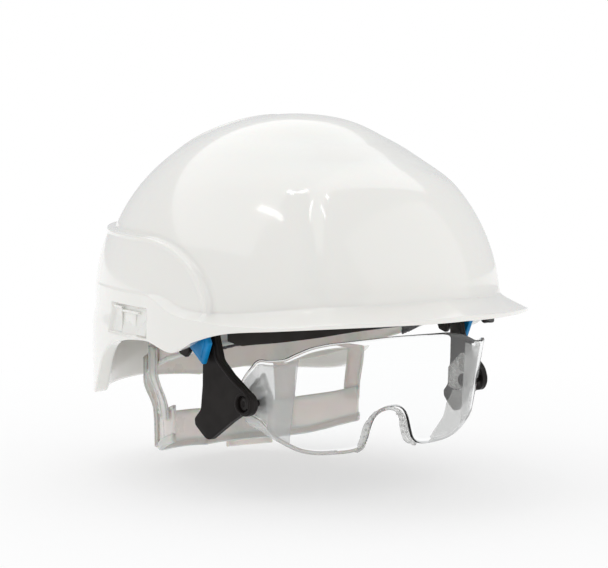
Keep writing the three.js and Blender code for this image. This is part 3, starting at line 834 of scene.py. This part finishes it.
# The lens from its middle to its rear edge: the upper edge, then the plan of the lower edge.
LENS_TOP = [(0, -86, -14.5), (33, -84.2, -15.3), (44, -82.6, -15.8), (54, -80.6, -17.3),
            (62, -78.6, -20), (70, -76.3, -22.8), (76.5, -73.6, -23), (80, -70.6, -22.6),
            (81.2, -67, -23.4), (81, -61, -28), (80.3, -54.5, -33), (79, -47.5, -40.5),
            (77.8, -42.5, -47.5)]
LENS_LOW = [(0, -84.5), (33, -79.8), (44, -77.2), (55, -74), (64, -71.5), (69.3, -69.8),
            (72.7, -68.3), (74.2, -67), (75.3, -64), (76, -59.5), (76.8, -53), (77, -47),
            (77.3, -42.5)]
LENS_AT = [0, 33.1, 44.4, 55.1, 64.5, 71.5, 77.3, 81.5, 85.2, 91.9, 99, 107, 114]
lens_low_edge = through([
    (0, -54), (4, -54.3), (7.5, -55.6), (10.5, -58), (13, -62.5), (15, -68.5), (17, -73.4),
    (19.5, -76), (23, -77.4), (33, -78.2), (44, -78), (55.1, -76), (64.5, -71.7), (71.5, -68),
    (77.3, -64.3), (81.5, -61.2), (85.2, -58.6), (91.9, -57), (99, -55.6), (107, -54.9),
    (114, -53),
])
LENS_THICKNESS = 2.2
# how far the flat front reaches each side of the middle, and down
LENS_FRONT, LENS_FOOT = 33, -78


def edge_curve(stations):
    """The place of a lens edge by distance from the middle."""
    curves = [through(list(zip(LENS_AT, column))) for column in zip(*stations)]
    return lambda s: np.array([float(curve(s)) for curve in curves])


lens_top_edge, lens_low_plan = edge_curve(LENS_TOP), edge_curve(LENS_LOW)


def lens_edges(s):
    """The outer upper and lower corners of the lens at a distance from its middle."""
    side = -1 if s < 0 else 1
    top = lens_top_edge(abs(s))
    low = np.append(lens_low_plan(abs(s)), lens_low_edge(abs(s)))
    # the nose cut-out is cut from the ruled surface of the front
    if abs(s) < LENS_FRONT:
        t = (top[2] - low[2]) / (top[2] - LENS_FOOT)
        low[:2] = top[:2] + (low[:2] - top[:2]) * t
    return top * (side, 1, 1), low * (side, 1, 1)


def inward_of(tangent):
    """Level unit vectors at right angles to the lens, towards the face."""
    return unit(tangent[:, [1, 0, 2]] * (-1, 1, 0))


def build_lens():
    half = np.concatenate([np.arange(0, 25, 0.4), np.arange(25, 60, 1.5),
                           np.arange(60, 114.5, 0.75)])
    columns = np.concatenate([-half[:0:-1], half])
    edges = np.array([lens_edges(s) for s in columns])
    tangent = np.gradient(edges.mean(axis=1), axis=0)
    rows = []
    for (top, low), inward in zip(edges, inward_of(tangent)):
        height = top[2] - low[2]
        soft = 0.8 / height
        loop = [(0.0, t) for t in np.linspace(soft, 1 - soft, 24)]
        loop += [(0.25, 1 - soft * 0.3), (0.8, 1), (LENS_THICKNESS - 0.8, 1),
                 (LENS_THICKNESS - 0.25, 1 - soft * 0.3)]
        loop += [(LENS_THICKNESS, t) for t in np.linspace(1 - soft, soft, 24)]
        loop += [(LENS_THICKNESS - 0.25, soft * 0.3), (LENS_THICKNESS - 0.8, 0), (0.8, 0),
                 (0.25, soft * 0.3)]
        rows.append([low + (top - low) * t + inward * depth for depth, t in loop])
    return tube("lens_look", rows)


# The shelf that closes the lens against each cheek: its edge at the lens, then its free edge.
SHELF = [
    ((33.5, -77.6, -77.2), (33, -75.5, -78.4)), ((44, -75, -77.2), (42.7, -65, -78.8)),
    ((55, -71.8, -75.2), (52.1, -59, -75.5)), ((63.2, -69.4, -70.8), (61.2, -54.6, -70)),
    ((68.2, -67.9, -67.2), (65.7, -51.5, -66.4)), ((71.6, -66.6, -63.5), (70, -47.9, -63.4)),
    ((73.5, -64.5, -60.2), (73.3, -46.9, -60.5)), ((74.5, -58, -57), (75, -47, -56.4)),
]


def build_shelf(side):
    inner, outer = spline([pair[0] for pair in SHELF], 60), spline([pair[1] for pair in SHELF], 60)
    rows = []
    for a, b in zip(inner, outer):
        width = np.linalg.norm(b - a)
        loop = [(t, 0.0) for t in np.linspace(0, 1 - 0.6 / max(width, 2), 10)]
        loop += [(1, 0.45), (1, 1.15)]
        loop += [(t, 1.6) for t in np.linspace(1 - 0.6 / max(width, 2), 0, 10)]
        rows.append([(a + (b - a) * t + (0, 0, rise)) * (side, 1, 1) for t, rise in loop])
    return tube("lens_shelf_look_l" if side > 0 else "lens_shelf_look_r", rows)


finish_piece(build_lens(), "lens_frame", "clear_lens", CLEAR, "lens")


def build_lens_reflection_sheet(side):
    """A pale sheet on the inside of the lens where it wraps round beside the eye: painted
    reflection, standing in for the light on the lens's curved corner.
    """
    stations = np.arange(62, 113, 1.0) * side
    edges = np.array([lens_edges(s) for s in stations])
    tangent = np.gradient(edges.mean(axis=1), axis=0) * side
    rows = []
    for (top, low), inward in zip(edges, inward_of(tangent)):
        loop = [(LENS_THICKNESS + 0.05, t) for t in np.linspace(0.04, 0.93, 12)]
        loop += [(LENS_THICKNESS + 0.3, t) for t in np.linspace(0.93, 0.04, 12)]
        rows.append([low + (top - low) * t + inward * depth for depth, t in loop])
    return tube("lens_reflection_sheet_l" if side > 0 else "lens_reflection_sheet_r", rows)


for side in (1, -1):
    finish_piece(build_shelf(side), "lens_frame", "clear_lens", FROSTED_AND_REFLECTION)
    # the pale sheet in the lens's wrap-around is a painted reflection of its curved corner
    finish_piece(build_lens_reflection_sheet(side), "lens_frame", "clear_lens", FROSTED_AND_REFLECTION)


def build_nose_bridge():
    """A soft flange that follows the nose cut-out, thickest on its legs, with raised dots."""
    half = [(0, -79.8, -55.4), (6, -79.7, -56.6), (10, -79.6, -59.4), (12.8, -79.5, -64),
            (14.8, -79.2, -70.5), (17.2, -78.9, -75.6), (21, -78.4, -77.8)]
    line = [(-a, b, c) for a, b, c in half[:0:-1]] + half
    route = spline(line, 90)
    tangent = np.gradient(route, axis=0)
    away = unit(tangent[:, [2, 1, 0]] * (-1, 0, 1))
    rows = []
    for k, (point, rise) in enumerate(zip(route, away)):
        reach = abs(k / 89 - 0.5) * 2
        wide = 3.9 + 2.6 * float(smooth(0.25, 0.6, reach) * (1 - smooth(0.82, 1.0, reach)))
        section = rounded_section(wide, 1.9, 0.8)
        rows.append([point + rise * v + np.array([0, u + wide / 2 - 1.95, 0]) for u, v in section])
    parts = [tube("bridge_flange", rows)]
    for k in (14, 19, 24, 30, 59, 65, 70, 75):
        for reach in (-0.4, 2.2):
            dot = lathe("bridge_dot", [(0, 0), (0.5, 0.1), (0.75, 0.5), (0.5, 0.9), (0, 1.0)],
                        (0, 0), 12)
            rise = away[k]
            base = route[k] - rise * 1.35
            side = np.array([rise[2], 0, -rise[0]])

            def put(co, base=base, rise=rise, side=side, reach=reach):
                return base + co @ np.array([rise, side, (0, 1, 0)]) + (0, reach, 0)

            parts.append(face_out(reshape(dot, put)))
    return joined("nose_bridge_look", parts)


finish_piece(build_nose_bridge(), "lens_frame", "soft_clear", SOFT_CLEAR, "nose_bridge")


def build_lens_clip():
    """A clear triangular retainer with a raised border, a ring and the screw hole."""
    corners = [(-60.3, -31, 1.5), (-68, -44, 2.5), (-68.5, -50, 2), (-64, -54.4, 2.5),
               (-48.7, -51, 2.5), (-49, -41, 2.5)]
    inside = [(-60, -33.8, 1.2), (-66.3, -44.4, 2), (-66.7, -49.4, 1.6), (-63.4, -52.6, 2),
              (-50.5, -49.6, 2), (-50.7, -41.7, 2)]
    outline, window = rounded_outline(corners), rounded_outline(inside)
    base = plate("clip_base", outline, 1.0, 0.25, [circle(BOSS, 2.4, 24)])
    border = plate("clip_border", outline, 1.4, 0.4, [window])
    ring = plate("clip_ring", circle((-60, -40), 2.2, 28), 1.2, 0.4, [circle((-60, -40), 1.1, 20)])
    return joined("clip", [upright(base, 71), upright(border, 69.9), upright(ring, 70.1)])


finish_pair(build_lens_clip(), "lens_clip", "lens_frame", "soft_clear", SOFT_CLEAR)


# ---- Headband and nape yoke ----
band_low = through([(0, -8), (45, -14), (95, -33), (125, -47), (180, -57)])
band_high = through([(0, 15), (45, 11), (95, -5), (125, -17), (180, -27)])
nape_low = through([(103, -83), (130, -94), (180, -100)])
nape_high = through([(103, -61), (112, -65), (130, -70), (150, -74.5), (180, -77)])


def railed(name, plan, span, low, high, rails, ring=False):
    """A band with a rail along each edge; a rail is (width, proud, thickness, rounding)."""
    (wide_low, *shape_low), (wide_high, *shape_high) = rails
    return joined(name, [
        band("band", plan, *span, low, high, 0, 2, 0.8, ring),
        band("rail", plan, *span, lambda t: low(t) + 0.2, lambda t: low(t) + wide_low,
             *shape_low, ring),
        band("rail", plan, *span, lambda t: high(t) - wide_high, lambda t: high(t) - 0.2,
             *shape_high, ring),
    ])


headband = railed("headband_look", BAND, (0, 360, 220), band_low, band_high,
                  [(2.6, 0.9, 1.6, 0.7), (2.6, 0.9, 1.6, 0.7)], ring=True)
finish_piece(headband, "helmet", "natural_plastic", NATURAL, "headband")

nape = railed("nape_band_look", NAPE, (103, 257, 120), nape_low, nape_high,
              [(5.4, 1.2, 3.2, 1.2), (2.4, 0.9, 2.0, 0.8)])
finish_piece(nape, "nape", "natural_plastic", NATURAL, "nape_band")

buckle = band("size_buckle_look", NAPE, 145, 167, 24, lambda t: nape_low(t) - 4,
              lambda t: nape_high(t) - 1, 2.8, 2.5, 1.0)
ribs = [band("buckle_rib", NAPE, a, a + 2.2, 6, lambda t: nape_low(t) - 3.5,
             lambda t: nape_high(t) - 1.5, 4.0, 1.6, 0.7) for a in (146.5, 163)]
finish_piece(joined("size_buckle_look", [buckle, *ribs]), "nape", "natural_plastic", NATURAL,
             "size_buckle")


def build_strut(turn, width, reach):
    """A ribbed strut that leans in below the headband to lie over the nape band."""
    band_radius = 84
    half = math.degrees(width / 2 / band_radius)
    low, high = float(nape_high(turn)) - reach, float(band_low(turn)) + 12
    lean = through([(low, 0), (float(nape_high(turn)) + 2, 0.12), (high - 14, 1), (high, 1)])

    def strip(name, start, end, proud, thickness, inset):
        rows = []
        for z in np.linspace(low + inset, high - inset, 26):
            share = float(lean(z))
            plan = tuple(n + (b - n) * share for n, b in zip(NAPE, BAND))
            outer = [(*on_ellipse(plan, angle, proud), z) for angle in np.linspace(start, end, 7)]
            inner = [(*on_ellipse(plan, angle, proud - thickness), z)
                     for angle in np.linspace(end, start, 7)]
            rows.append(outer + inner)
        return tube(name, rows)

    parts = [strip("strut", turn - half, turn + half, 2.9, 1.7, 0)]
    for edge in (-half, half - 0.9):
        parts.append(strip("strut_rib", turn + edge, turn + edge + 0.9, 3.5, 1.0, 0.5))
    return joined("strut", parts)


for stem, turn, width, reach in (("strut_side", 108, 10, 7), ("strut_rear", 139, 12, 21)):
    finish_pair(build_strut(turn, width, reach), stem, "nape", "natural_plastic", NATURAL)


# ---- Harness ----
LUGS = {"front": (83.0, -31.0, 43.0, -20.0), "rear": (79.5, 61.0, 32.0, 36.0)}


def posed(piece, lean, spin, place):
    """Leans a piece about Y, spins it about Z and moves it to its place."""
    def stand(co):
        x, y, z = co.T
        leaned = x * math.cos(lean) + z * math.sin(lean)
        turned = np.stack([leaned * math.cos(spin) - y * math.sin(spin),
                           leaned * math.sin(spin) + y * math.cos(spin),
                           -x * math.sin(lean) + z * math.cos(lean)], 1)
        return turned + place

    return reshape(piece, stand)


def build_lug(x, y, z, turn):
    """A moulded socket for the end of a strap, with its slot and a bar."""
    outline = rounded_outline([(-12, -9, 3), (12, -9, 3), (12, 5, 2), (8, 9, 2), (-8, 9, 2),
                               (-12, 5, 2)])
    body = upright(plate("lug", outline, 3, 0.7, [box_outline(-10, 10, 0, 3.4, 1, 3)]), -1.5)
    bar = upright(plate("lug_bar", box_outline(-9, 9, -6, -3, 1), 1.4, 0.5), -2.4)
    return posed(joined("lug", [body, bar]), math.radians(-24), math.radians(turn), (x, y, z))


def build_hanger(lug, foot):
    """The tab that ties a lug to the headband, with two setting holes."""
    top = np.array([lug[0] - 4.5, lug[1], lug[2] - 12])
    foot = np.array(foot, float)
    half = np.linalg.norm(top - foot) / 2
    corners = [(-6, -half, 2.5), (6, -half, 2.5), (7, half - 4, 2), (5, half, 2), (-5, half, 2),
               (-7, half - 4, 2)]
    holes = [box_outline(-2.5, 2.5, h - 1.2, h + 1.2, 1, 3) for h in (5 - half, 11 - half)]
    piece = upright(plate("hanger", rounded_outline(corners), 1.6, 0.4, holes), -0.8)
    return posed(piece, math.atan2(top[0] - foot[0], top[2] - foot[2]),
                 math.radians(lug[3] * 0.6), (top + foot) / 2)


for end, foot in (("front", (70.5, -27, -2)), ("rear", (67.5, 66, -24))):
    finish_pair(build_lug(*LUGS[end]), f"lug_{end}", "helmet", "natural_plastic", NATURAL)
    finish_pair(build_hanger(LUGS[end], foot), f"hanger_{end}", "helmet", "natural_plastic",
                NATURAL)

STRAP_WIDTH, STRAP_THICKNESS, STRAP_CROWN = 19.0, 1.2, 79.0


def build_cross_strap(name, start, end, crown):
    start, end = np.array(start[:3]), np.array(end[:3])
    middle_y = (start[1] * end[0] - end[1] * start[0]) / (end[0] - start[0])
    middle = np.array([0, middle_y, crown])

    def rise(tip, reach, z):
        place = middle + (tip - middle) * reach
        place[2] = z
        return place

    def lift(tip):
        return tip[2] + (crown - tip[2]) * 0.55

    route = spline([rise(start, 0.93, start[2] + 9), rise(start, 0.8, lift(start)),
                    rise(start, 0.42, crown - 4.5), middle, rise(end, 0.42, crown - 4.5),
                    rise(end, 0.8, lift(end)), rise(end, 0.93, end[2] + 9)], 110)
    heading = math.atan2(end[1] - start[1], end[0] - start[0])
    across = np.tile((-math.sin(heading), math.cos(heading), 0), (len(route), 1))
    return ribbon(name, route, across, STRAP_WIDTH, STRAP_THICKNESS)


def mirror_x(lug):
    return (-lug[0], *lug[1:])


for name, start, end, crown in (
        ("strap_cross_a", mirror_x(LUGS["front"]), LUGS["rear"], STRAP_CROWN),
        ("strap_cross_b", mirror_x(LUGS["rear"]), LUGS["front"], STRAP_CROWN - 2.5)):
    strap = build_cross_strap(name + "_look", start, end, crown)
    finish_piece(strap, "helmet", "webbing", WEBBING, name)

long_route = spline([(0, -70, 20), (0, -62, 45), (0, -38, 68), (0, 14, STRAP_CROWN - 6),
                     (0, 62, 60), (0, 88, 30), (0, 100, -20)], 130)
long_strap = ribbon("strap_long_look", long_route, np.tile((1, 0, 0), (130, 1)), STRAP_WIDTH,
                    STRAP_THICKNESS)
finish_piece(long_strap, "helmet", "webbing", WEBBING, "strap_long")


# ---- Soft parts ----
def applied(piece):
    """Takes a piece's modifiers into its mesh."""
    whole = piece.evaluated_get(bpy.context.evaluated_depsgraph_get())
    mesh = bpy.data.meshes.new_from_object(whole)
    piece.modifiers.clear()
    piece.data = mesh


def filled(piece, voxel, cap, seam):
    """Fills a pad by simulating its cover under pressure, then sews its seams in.

    voxel is the size of its mesh, cap is how far a point may move and seam gives how deep
    the stitching pulls the cover in, from its points. All are in millimetres.
    """
    remesh = piece.modifiers.new("remesh", "REMESH")
    remesh.mode, remesh.voxel_size, remesh.use_smooth_shade = "VOXEL", voxel * MM, True
    applied(piece)
    start = points_of(piece.data)
    cloth = piece.modifiers.new("cloth", "CLOTH")
    cloth.settings.use_pressure = True
    cloth.settings.uniform_pressure_force = 4
    cloth.settings.effector_weights.gravity = 0
    cloth.point_cache.frame_start, cloth.point_cache.frame_end = 1, 20
    for frame_number in range(1, 21):
        bpy.context.scene.frame_set(frame_number)
    applied(piece)
    bpy.context.scene.frame_set(1)
    moved = points_of(piece.data) - start
    length = np.linalg.norm(moved, axis=1, keepdims=True)
    moved *= np.minimum(1, cap / np.maximum(length, 1e-9))
    normal = np.array([vertex.normal[:] for vertex in piece.data.vertices])
    set_points(piece.data, start + moved - normal * seam(start)[:, None])
    piece.modifiers.new("soften", "SUBSURF").levels = 1
    piece.modifiers["soften"].render_levels = 1
    return piece


def build_sweatband():
    return band("sweatband_look", BAND, -75, 75, 150, lambda t: band_low(t) - 2,
                lambda t: band_high(t) + 1, -3.0, 2.6, 1.2)


def sweatband_seam(co):
    """A stitched line along both edges and a row of quilting channels between them."""
    turn = np.degrees(np.arctan2(co[:, 0] / BAND[0], (BAND[2] - co[:, 1]) / BAND[1]))
    low, high = band_low(abs(turn)) - 2, band_high(abs(turn)) + 1
    edges = np.minimum(abs(co[:, 2] - low - 3.5), abs(high - 3.5 - co[:, 2]))
    channel = abs((turn + 6) % 12 - 6) * 1.4
    channel = np.where((co[:, 2] > low + 3.5) & (co[:, 2] < high - 3.5), channel, 9)
    return 0.75 * np.exp(-(np.minimum(edges, channel) / 0.9) ** 2)


sweatband = finish_piece(build_sweatband(), "helmet", "sweatband_cloth", TOWELLING, "sweatband")
filled(sweatband, 1.3, 0.6, sweatband_seam)


PAD_Y = 14


def build_crown_pad():
    profile = [(0, 66.5), (12, 66.4), (22, 65.6), (25, 64.6), (26, 63), (25.4, 61.4), (23, 60.9),
               (12, 62), (0, 62.5)]
    return tube("crown_pad_look", [[(x, y, z) for x, y in circle((0, PAD_Y), max(radius, 0.02), 96)]
                                   for radius, z in profile])


def crown_pad_seam(co):
    """Two rings of stitching round the middle of the pad."""
    radius = np.hypot(co[:, 0], co[:, 1] - PAD_Y)
    ring = np.minimum(abs(radius - 21.5), abs(radius - 9))
    return 0.8 * np.exp(-(ring / 1.1) ** 2)


crown_pad = finish_piece(build_crown_pad(), "helmet", "pad_foam", PAD_CLOTH, "crown_pad")
filled(crown_pad, 1.5, 0.7, crown_pad_seam)


# ---- Floor, lights and camera ----
def build_floor():
    """A pale floor that fades into the white of the studio far from the object."""
    size, level = 40000, -105
    floor = make_mesh("floor", [(-size, -size, level), (size, -size, level), (size, size, level),
                                (-size, size, level)], [(0, 1, 2, 3)])
    paint = Paint("floor_white", (0.93, 0.93, 0.93), 0.9, Specular_IOR_Level=0.0)
    far = paint.add("ShaderNodeVectorMath", operation="LENGTH")
    paint.links.new(paint.place(), far.inputs[0])
    fade = paint.ramp(far.outputs["Value"], 0.55, 1.0, 0.1, 0.5)
    glow = paint.add("ShaderNodeEmission", Strength=1.0)
    mix = paint.add("ShaderNodeMixShader")
    paint.links.new(fade, mix.inputs["Fac"])
    paint.links.new(paint.shader.outputs[0], mix.inputs[1])
    paint.links.new(glow.outputs[0], mix.inputs[2])
    paint.links.new(mix.outputs[0], paint.nodes["Material Output"].inputs["Surface"])
    floor.data.materials.append(paint.material)


def area_light(name, place, aim, size, power, shape=(1.0, 1.0)):
    data = bpy.data.lights.new(name, "AREA")
    data.shape = "RECTANGLE"
    data.size, data.size_y = size * shape[0], size * shape[1]
    data.energy = power
    light = bpy.data.objects.new(name, data)
    bpy.context.scene.collection.objects.link(light)
    light.location = place
    light.rotation_mode = "QUATERNION"
    light.rotation_quaternion = (Vector(aim) - Vector(place)).to_track_quat("-Z", "Y")
    return light


def build_lights():
    """A white studio with a large softbox above the near side of the crown."""
    bpy.context.scene.view_settings.view_transform = "Standard"
    world = bpy.data.worlds.new("studio")
    bpy.context.scene.world = world
    world.use_nodes = True
    nodes, links = world.node_tree.nodes, world.node_tree.links
    dim, white = nodes["Background"], nodes.new("ShaderNodeBackground")
    dim.inputs["Color"].default_value = (0.985, 0.99, 1.0, 1)
    dim.inputs["Strength"].default_value = 0.7
    white.inputs["Strength"].default_value = 1.0
    white.inputs["Color"].default_value = (1, 1, 1, 1)
    seen, mix = nodes.new("ShaderNodeLightPath"), nodes.new("ShaderNodeMixShader")
    links.new(seen.outputs["Is Camera Ray"], mix.inputs["Fac"])
    links.new(dim.outputs[0], mix.inputs[1])
    links.new(white.outputs[0], mix.inputs[2])
    links.new(mix.outputs[0], nodes["World Output"].inputs["Surface"])
    area_light("softbox", (-0.6, 1.2, 1.5), (-0.6, 1.2, 0), 1.0, 19, (4.4, 2.4))
    area_light("strip_long", (-1.0, 0.03, 1.5), (0, 0, 0), 1.0, 0.75, (0.5, 0.13))
    area_light("strip_short", (-0.3, -0.03, 1.5), (0, 0, 0), 1.0, 0.45, (0.26, 0.13))
    area_light("front", (0.9, -2.0, 0.8), (0, 0, 0), 4.2, 20)


def build_camera():
    """A camera in front of the helmet on its right, a little above it and 1.5 m away."""
    azimuth, elevation, distance = math.radians(-37), math.radians(6), 1.5
    right = Vector((math.cos(azimuth), math.sin(azimuth), 0))
    level = Vector((math.sin(azimuth), -math.cos(azimuth), 0))
    back = level * math.cos(elevation) + Vector((0, 0, math.sin(elevation)))
    up = back.cross(right)
    pixels_per_metre, picture_width = 1720.0, 608
    data = bpy.data.cameras.new("camera")
    data.sensor_width = 36.0
    data.lens = pixels_per_metre * distance / picture_width * data.sensor_width
    data.clip_start, data.clip_end = 0.05, 60
    camera = bpy.data.objects.new("camera", data)
    bpy.context.scene.collection.objects.link(camera)
    middle = (right * 3.0 + up * 13.2) / pixels_per_metre
    camera.location = middle + back * distance
    camera.rotation_mode = "QUATERNION"
    camera.rotation_quaternion = back.to_track_quat("Z", "Y")
    bpy.context.scene.camera = camera


build_floor()
build_lights()
build_camera()
